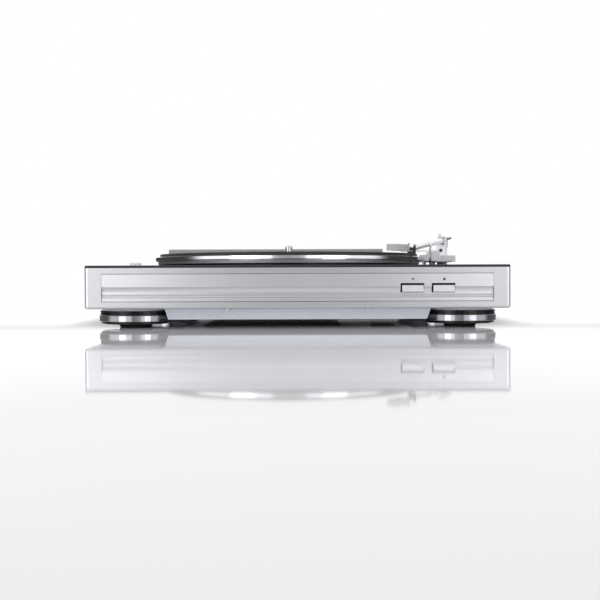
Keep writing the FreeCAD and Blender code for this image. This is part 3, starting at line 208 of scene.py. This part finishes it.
# The camera stands low in front, level with the upper part of the front strip.
# Its pitch puts the eye line a little above the picture's middle, and its roll is the photograph's own.
picture_width = 600
eye_line = 278.65
focal_pixels = 1067.6
sensor = 36.0
camera_place = (0.0021, -1.0785, 0.0418)
camera_roll = 0.195
camera_data = bpy.data.cameras.new("camera")
camera_data.sensor_width = sensor
camera_data.lens = focal_pixels / picture_width * sensor
camera = bpy.data.objects.new("camera", camera_data)
scene.collection.objects.link(camera)
camera.location = camera_place
pitch = math.atan((picture_width / 2 - eye_line) / focal_pixels)
camera.rotation_euler = (math.radians(90.0) - pitch, math.radians(camera_roll), 0.0)
scene.camera = camera
scene.view_settings.view_transform = "Standard"

# Plinth case: a moulded resin box with sprayed silver lacquer, satin, with fine metal flakes in it.
# The flakes make a faint sparkle, drawn at 0.35 mm so that they show at all.
flake_size = 0.00035
noise_detail = 2.0
grain_strength = 0.6


def finish(name, hex_value, roughness, metallic=0.0):
    """A new material with one base colour, and the coordinates that its patterns read."""
    material = bpy.data.materials.new(name)
    material.use_nodes = True
    tree = material.node_tree
    shader = tree.nodes["Principled BSDF"]
    shader.inputs["Base Color"].default_value = linear(hex_value)
    shader.inputs["Roughness"].default_value = roughness
    shader.inputs["Metallic"].default_value = metallic
    coords = add_node(tree, "ShaderNodeTexCoord").outputs["Object"]
    return material, tree, shader, coords


def vary(tree, shader, coords, size, darker, lighter):
    """Lets the base colour drift between two shades over patches of one size, in metres."""
    cloud = add_node(tree, "ShaderNodeTexNoise", {"Vector": coords}, Scale=1.0 / size, Detail=noise_detail)
    drift = add_node(tree, "ShaderNodeValToRGB", {0: cloud.outputs["Fac"]})
    drift.color_ramp.elements[0].color = linear(darker)
    drift.color_ramp.elements[1].color = linear(lighter)
    tree.links.new(drift.outputs["Color"], shader.inputs["Base Color"])


def grain(tree, shader, coords, size, depth, stretch=(1, 1, 1)):
    """Raises a fine grain of one size and depth, in metres, over the surface."""
    stretched = add_node(tree, "ShaderNodeMapping", {"Vector": coords})
    stretched.inputs["Scale"].default_value = stretch
    noise = add_node(
        tree, "ShaderNodeTexNoise", {"Vector": stretched.outputs[0]}, Scale=1.0 / size, Detail=noise_detail,
    )
    bump = add_node(
        tree, "ShaderNodeBump", {"Height": noise.outputs["Fac"]}, Strength=grain_strength, Distance=depth,
    )
    tree.links.new(bump.outputs["Normal"], shader.inputs["Normal"])


def dress(material, *names):
    """Puts a finish on CAD nodes."""
    for name in names:
        piece = nodes[name]
        piece.data.materials.clear()
        piece.data.materials.append(material)


lacquer, tree, shader, coords = finish("silver_lacquered_resin", "#BFC0C3", roughness=0.28, metallic=0.75)
vary(tree, shader, coords, size=flake_size, darker="#B9BABD", lighter="#C5C6C9")
grain(tree, shader, coords, size=flake_size, depth=0.00002)
dress(lacquer, "plinth_case")

# Deck panel: a dark resin sheet with a satin top and a soft moulded edge, glued over the case.
# A fine leather-like texture of 0.5 mm keeps it from shining evenly.
panel, tree, shader, coords = finish("dark_satin_resin", "#2C2D31", roughness=0.45)
shader.inputs["Specular IOR Level"].default_value = 0.25
vary(tree, shader, coords, size=0.02, darker="#292A2E", lighter="#303136")
grain(tree, shader, coords, size=0.0005, depth=0.00003)
dress(panel, "deck_panel")

# Front strip: a long resin moulding in silver lacquer, brushed along its length.
# Its brushing runs along X, in streaks 0.3 mm wide and some centimetres long.
brushed, tree, shader, coords = finish("brushed_silver_lacquer", "#CDCED1", roughness=0.28, metallic=0.8)
vary(tree, shader, coords, size=0.03, darker="#CACBCE", lighter="#D0D1D4")
grain(tree, shader, coords, size=0.0003, depth=0.000015, stretch=(0.01, 1, 1))
dress(brushed, "front_strip")

# Keys: two silver push keys in the strip, each under a small printed mark.
# The marks are thin pads of dark paint on the strip's flat: a triangle for start and a square for stop.
key_resin, tree, shader, coords = finish("silver_key_resin", "#D4D5D8", roughness=0.3, metallic=0.4)
grain(tree, shader, coords, size=0.0004, depth=0.00001)
vary(tree, shader, coords, size=0.004, darker="#D0D1D4", lighter="#D8D9DC")
dress(key_resin, "start_button", "stop_button")
mark_paint, tree, shader, coords = finish("dark_mark_paint", "#3A3B40", roughness=0.5)
vary(tree, shader, coords, size=0.0006, darker="#36373C", lighter="#404146")
mark_depth = 0.00016
mark_middle_ahead = 0.000032
mark_edge_round = 0.00004
mark_z = 0.0412
strip_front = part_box("front_strip")[0].y
for name, node, corners, mark_radius, turn in (
    ("start_mark", "start_button", 3, 0.001364, -90), ("stop_mark", "stop_button", 4, 0.001452, 45),
):
    key_low, key_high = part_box(node)
    middle = (key_low.x + key_high.x) / 2
    bpy.ops.object.select_all(action="DESELECT")
    bpy.ops.mesh.primitive_cylinder_add(
        vertices=corners, radius=mark_radius, depth=mark_depth,
        location=(0, 0, 0), rotation=(0, 0, math.radians(turn)),
    )
    mark = bpy.context.object
    bpy.ops.object.transform_apply(location=True, rotation=True, scale=True)
    mark.name = name
    mark.rotation_euler = (math.radians(90), 0, 0)
    mark.location = (middle, strip_front - mark_middle_ahead, mark_z)
    bpy.ops.object.transform_apply(location=True, rotation=True, scale=True)
    soften = mark.modifiers.new("soft_edges", "BEVEL")
    soften.width = mark_edge_round
    soften.segments = 2
    bpy.ops.object.modifier_apply(modifier=soften.name)
    mark.data.materials.append(mark_paint)
    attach(mark, "chassis")

# Bottom tray, hatch and screws: pale grey moulded resin with a fine spark-eroded texture, and plated steel.
# They are seen only from below and in the shade under the front edge. The same dark resin and plated steel
# also serve the switches, the arm rest, the motor and the weights.
tray_resin, tree, shader, coords = finish("pale_grey_resin", "#E8EAF1", roughness=0.5)
vary(tree, shader, coords, size=0.01, darker="#E4E6ED", lighter="#ECEEF5")
grain(tree, shader, coords, size=0.0006, depth=0.00004)
dress(tray_resin, "bottom_tray")
# Dark resin, moulded with the same texture: an even, dull dark.
dark_resin, tree, shader, coords = finish("dark_moulded_resin", "#2A2B2E", roughness=0.5)
vary(tree, shader, coords, size=0.006, darker="#262729", lighter="#303134")
grain(tree, shader, coords, size=0.0006, depth=0.00004)
dress(dark_resin, "bottom_hatch", "button_switches", "trip_solenoid", "speed_switch", "board_parts",
      "cord_glands", "arm_rest", "switch_board")
# Pressed steel with zinc plating: a cool shine that is a little patchy.
plated, tree, shader, coords = finish("zinc_plated_steel", "#B5B6B8", roughness=0.3, metallic=1.0)
vary(tree, shader, coords, size=0.002, darker="#AAABAE", lighter="#C0C1C2")
dress(plated, "foot_screws", "pan_screws", "drive_motor", "transformer", "counterweight")

# Feet: a gloss black body with a chromed ring, a silver shoulder on top and a rubber pad below.
# The ring is brass with a bright plating, polished, so it mirrors the cards beside the camera; the shoulder
# is moulded and sprayed in satin silver.
foot_gloss, tree, shader, coords = finish("gloss_black_abs", "#0B0B0D", roughness=0.16)
shader.inputs["Specular IOR Level"].default_value = 0.2
vary(tree, shader, coords, size=0.004, darker="#09090B", lighter="#101013")
dress(foot_gloss, "foot_bodies")
ring_chrome, tree, shader, coords = finish("polished_chrome", "#98989D", roughness=0.08, metallic=1.0)
grain(tree, shader, coords, size=0.002, depth=0.000004)
dress(ring_chrome, "foot_rings")
shoulder_paint, tree, shader, coords = finish("satin_silver_paint", "#E8E9EC", roughness=0.4, metallic=0.1)
vary(tree, shader, coords, size=flake_size, darker="#E4E5E8", lighter="#ECEDF0")
dress(shoulder_paint, "foot_shoulders")
# Turned steel, for pins and posts: its fine cuts draw the shine out into lines.
collar_steel, tree, shader, coords = finish("turned_steel", "#BFBFC3", roughness=0.28, metallic=1.0)
grain(tree, shader, coords, size=0.0002, depth=0.000006, stretch=(0.2, 0.2, 4))
dress(collar_steel, "bearing_post", "spindle", "cam_post", "motor_shaft", "trip_plunger",
      "arm_shaft", "lift_pins", "bearing_screw")
# Moulded soft rubber, for the pads, the belt and the round cap: matt, with next to no shine.
soft_rubber, tree, shader, coords = finish("soft_black_rubber", "#1F1F21", roughness=0.75)
grain(tree, shader, coords, size=0.0004, depth=0.00003)
vary(tree, shader, coords, size=0.003, darker="#1B1B1D", lighter="#252527")
dress(soft_rubber, "foot_pads", "drive_belt", "bottom_cap")

# Platter: an aluminium casting turned on a lathe, whose cuts are fine circles round the spindle.
# The cuts are 0.25 mm apart, drawn as rings on the platter's own centre. Its lower skirt is rougher and
# duller than the turned lip above it, and its darker grey is painted shade under that overhanging lip.
platter_low, platter_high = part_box("platter")
centre_x = (platter_low.x + platter_high.x) / 2
centre_y = (platter_low.y + platter_high.y) / 2
cut_pitch = 0.00025
cut_depth = 0.00001
cut_strength = 0.15
# A wave texture of scale 1 repeats at this distance.
wave_repeat = math.pi / 10
lip_bottom = 0.0587
lip_edge = 0.0001
turned_silver, turned_roughness = "#DADBDD", 0.13
# Below the lip the colour is painted shade: a darker grey under the overhanging lip, on a rougher skirt.
lip_shade_grey, skirt_roughness = "#86878C", 0.5
turned, tree, shader, coords = finish("turned_aluminium", turned_silver, turned_roughness, metallic=1.0)
height = add_node(tree, "ShaderNodeSeparateXYZ", {"Vector": coords})
above = add_node(tree, "ShaderNodeMapRange", {"Value": height.outputs["Z"]},
                 From_Min=lip_bottom - lip_edge, From_Max=lip_bottom)
# This ramp paints that shade: the darker grey below the lip, and the turned silver above it.
lip_shade_or_turned = add_node(tree, "ShaderNodeValToRGB", {0: above.outputs[0]})
lip_shade_or_turned.color_ramp.elements[0].color = linear(lip_shade_grey)
lip_shade_or_turned.color_ramp.elements[1].color = linear(turned_silver)
tree.links.new(lip_shade_or_turned.outputs["Color"], shader.inputs["Base Color"])
gloss = add_node(tree, "ShaderNodeMapRange", {"Value": above.outputs[0]},
                 To_Min=skirt_roughness, To_Max=turned_roughness)
tree.links.new(gloss.outputs[0], shader.inputs["Roughness"])
centred = add_node(tree, "ShaderNodeMapping", {"Vector": coords}, Location=(-centre_x, -centre_y, 0))
cuts = add_node(
    tree, "ShaderNodeTexWave", {"Vector": centred.outputs[0]}, wave_type="RINGS", rings_direction="Z",
    Scale=wave_repeat / cut_pitch, Distortion=0.4, Detail=1.0,
)
relief = add_node(tree, "ShaderNodeBump", {"Height": cuts.outputs["Fac"]},
                  Strength=cut_strength, Distance=cut_depth)
tree.links.new(relief.outputs["Normal"], shader.inputs["Normal"])
dress(turned, "platter")
# Turned brass, for bushes and the pulley: a warm shine in fine lines.
brass, tree, shader, coords = finish("turned_brass", "#C9A25A", roughness=0.28, metallic=1.0)
grain(tree, shader, coords, size=0.0003, depth=0.000006, stretch=(0.3, 0.3, 3))
dress(brass, "platter_bush", "motor_pulley", "arm_bearing")
# Moulded acetal, for the gears under the deck: a milky off-white with a soft shine.
acetal, tree, shader, coords = finish("natural_acetal", "#E6E4DA", roughness=0.42)
vary(tree, shader, coords, size=0.004, darker="#E0DED3", lighter="#ECEAE1")
dress(acetal, "hub_pinion", "cam_gear", "arm_sector", "thrust_washer")

# Platter mat: a moulded rubber disc with raised rings, a lower round place for a record's label
# and a plain rim. Each ring is 1.1 mm wide and stands 0.35 mm above the groove beside it.
mat_low, mat_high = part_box("platter_mat")
mat_radius = (mat_high.x - mat_low.x) / 2
ring_pitch = 0.0022
groove_depth = 0.00035
label_radius = 0.051
label_drop = 0.0004
label_border = 0.002
label_slope = 0.0004
hole_radius = 0.0046
rim_width = 0.0035
rim_bevel = 0.0005
groove_slope = 0.0002
weld = 0.00001
mat_steps = 144


def turned_piece(name, outline, steps):
    """Draws a closed outline of radius and height by extruding one point along it, then spins it."""
    bpy.ops.object.select_all(action="DESELECT")
    start = Vector((centre_x + outline[0][0], centre_y, outline[0][1]))
    bpy.ops.mesh.primitive_plane_add(size=0.001, location=(0, 0, 0))
    piece = bpy.context.object
    piece.name = name
    bpy.ops.object.mode_set(mode="EDIT")
    bpy.ops.mesh.merge(type="CENTER")
    bpy.ops.transform.translate(value=start)
    for before, after in zip(outline, outline[1:] + outline[:1]):
        step = (after[0] - before[0], 0, after[1] - before[1])
        bpy.ops.mesh.extrude_region_move(TRANSFORM_OT_translate={"value": step})
    bpy.ops.mesh.select_all(action="SELECT")
    bpy.ops.mesh.remove_doubles(threshold=weld)
    bpy.ops.mesh.spin(steps=steps, angle=2 * math.pi, center=(centre_x, centre_y, 0), axis=(0, 0, 1))
    bpy.ops.mesh.select_all(action="SELECT")
    bpy.ops.mesh.remove_doubles(threshold=weld)
    bpy.ops.mesh.normals_make_consistent(inside=False)
    bpy.ops.object.mode_set(mode="OBJECT")
    return piece


mat_outline = [(hole_radius, mat_low.z), (mat_radius, mat_low.z), (mat_radius, mat_high.z - rim_bevel)]
mat_outline += [(mat_radius - rim_bevel, mat_high.z), (mat_radius - rim_width, mat_high.z)]
inner_edge = label_radius + label_border
groove_z = mat_high.z - groove_depth
radius = mat_radius - rim_width
while radius - ring_pitch > inner_edge:
    mat_outline += [
        (radius - groove_slope, groove_z), (radius - ring_pitch / 2, groove_z),
        (radius - ring_pitch / 2 - groove_slope, mat_high.z), (radius - ring_pitch, mat_high.z),
    ]
    radius -= ring_pitch
mat_outline += [(label_radius, mat_high.z), (label_radius - label_slope, mat_high.z - label_drop)]
mat_outline += [(hole_radius, mat_high.z - label_drop)]
mat = turned_piece("ribbed_mat", mat_outline, mat_steps)
mat.data.shade_smooth()
bpy.ops.object.shade_smooth_by_angle(angle=math.radians(25))
mat_rubber, tree, shader, coords = finish("moulded_mat_rubber", "#1E1E20", roughness=0.62)
vary(tree, shader, coords, size=0.01, darker="#1A1A1C", lighter="#242426")
grain(tree, shader, coords, size=0.0004, depth=0.00002)
mat.data.materials.append(mat_rubber)
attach(mat, "platter_unit")
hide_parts("platter_mat")

# Speed knob: a small moulded knob in pale silver lacquer, with a raised bar across it to grip.
# Its edge is rounded, so it catches a bright line of light.
knob_resin, tree, shader, coords = finish("silver_knob_lacquer", "#F2F2F5", roughness=0.22)
vary(tree, shader, coords, size=0.002, darker="#EEEEF1", lighter="#F6F6F8")
dress(knob_resin, "speed_knob")

# Rear rail: a long grey resin bar along the back of the deck, satin lacquered.
# A faint drift of shade stands for the spray's unevenness.
rail_lacquer, tree, shader, coords = finish("grey_rail_lacquer", "#A6A6AA", roughness=0.42, metallic=0.1)
vary(tree, shader, coords, size=0.02, darker="#A0A0A4", lighter="#ADADB1")
grain(tree, shader, coords, size=0.0004, depth=0.00002)
dress(rail_lacquer, "rear_rail")

# Tonearm: the headshell and housing are resin in silver lacquer with the case's fine flakes,
# and the base, turret and lever are moulded in pale resin. The tube is polished aluminium.
arm_lacquer, tree, shader, coords = finish("silver_arm_lacquer", "#C4C4C8", roughness=0.34)
vary(tree, shader, coords, size=flake_size, darker="#BFBFC3", lighter="#C9C9CD")
grain(tree, shader, coords, size=flake_size, depth=0.00002)
dress(arm_lacquer, "arm_housing", "headshell", "finger_lift", "arm_clip")
# Moulded resin left bare: a clean off-white with a soft shine.
pale_resin, tree, shader, coords = finish("pale_moulded_resin", "#EDEDF1", roughness=0.4)
vary(tree, shader, coords, size=0.002, darker="#E8E8EC", lighter="#F2F2F6")
dress(pale_resin, "arm_turret")
# Extruded resin: near white and glossy, with a clear highlight along its length.
sleeve_resin, tree, shader, coords = finish("white_sleeve_resin", "#FAFAFC", roughness=0.2)
vary(tree, shader, coords, size=0.004, darker="#F7F7F9", lighter="#FDFDFE")
dress(sleeve_resin, "arm_sleeve")
# Moulded resin with a fine texture: a pale grey that spreads its highlights.
base_resin, tree, shader, coords = finish("pale_base_resin", "#E3E3E7", roughness=0.38)
vary(tree, shader, coords, size=0.004, darker="#DEDEE2", lighter="#E8E8EC")
grain(tree, shader, coords, size=0.0005, depth=0.00002)
dress(base_resin, "arm_base", "cue_lever", "lift_bar")
# Drawn and polished: it mirrors the dark deck and the white room along its length.
tube_metal, tree, shader, coords = finish("polished_aluminium_tube", "#EDEEF0", roughness=0.05, metallic=1.0)
grain(tree, shader, coords, size=0.0002, depth=0.000004)
dress(tube_metal, "arm_tube", "arm_collar")
# Turned steel, blackened in a salt bath: near black with a faint metallic shine.
dark_steel, tree, shader, coords = finish("black_oxide_steel", "#3A3A3E", roughness=0.35, metallic=0.8)
grain(tree, shader, coords, size=0.0003, depth=0.000006)
dress(dark_steel, "turret_screw", "balance_rod")
# Moulded grey resin: plain and satin.
cartridge_resin, tree, shader, coords = finish("grey_cartridge_resin", "#B9B9BE", roughness=0.4)
vary(tree, shader, coords, size=0.002, darker="#B3B3B8", lighter="#BFBFC4")
dress(cartridge_resin, "cartridge")
# Moulded dark resin, so the stylus block reads apart from the cartridge.
stylus_resin, tree, shader, coords = finish("dark_stylus_resin", "#4A4A4E", roughness=0.4)
vary(tree, shader, coords, size=0.001, darker="#454549", lighter="#505054")
dress(stylus_resin, "stylus")

# Circuit board: glass fibre under green lacquer, with copper paths that show as paler lines.
# The paths are drawn as a fine brick pattern, of cells 9 mm long and 2.5 mm high.
board_lacquer, tree, shader, coords = finish("green_board_lacquer", "#2F5A3A", roughness=0.35)
paths = add_node(tree, "ShaderNodeTexBrick", {"Vector": coords}, Scale=1.0)
paths.inputs["Brick Width"].default_value = 0.009
paths.inputs["Row Height"].default_value = 0.0025
paths.inputs["Mortar Size"].default_value = 0.0003
paths.inputs["Color1"].default_value = linear("#2B5436")
paths.inputs["Color2"].default_value = linear("#33613F")
paths.inputs["Mortar"].default_value = linear("#4C7F55")
tree.links.new(paths.outputs["Color"], shader.inputs["Base Color"])
dress(board_lacquer, "circuit_board")
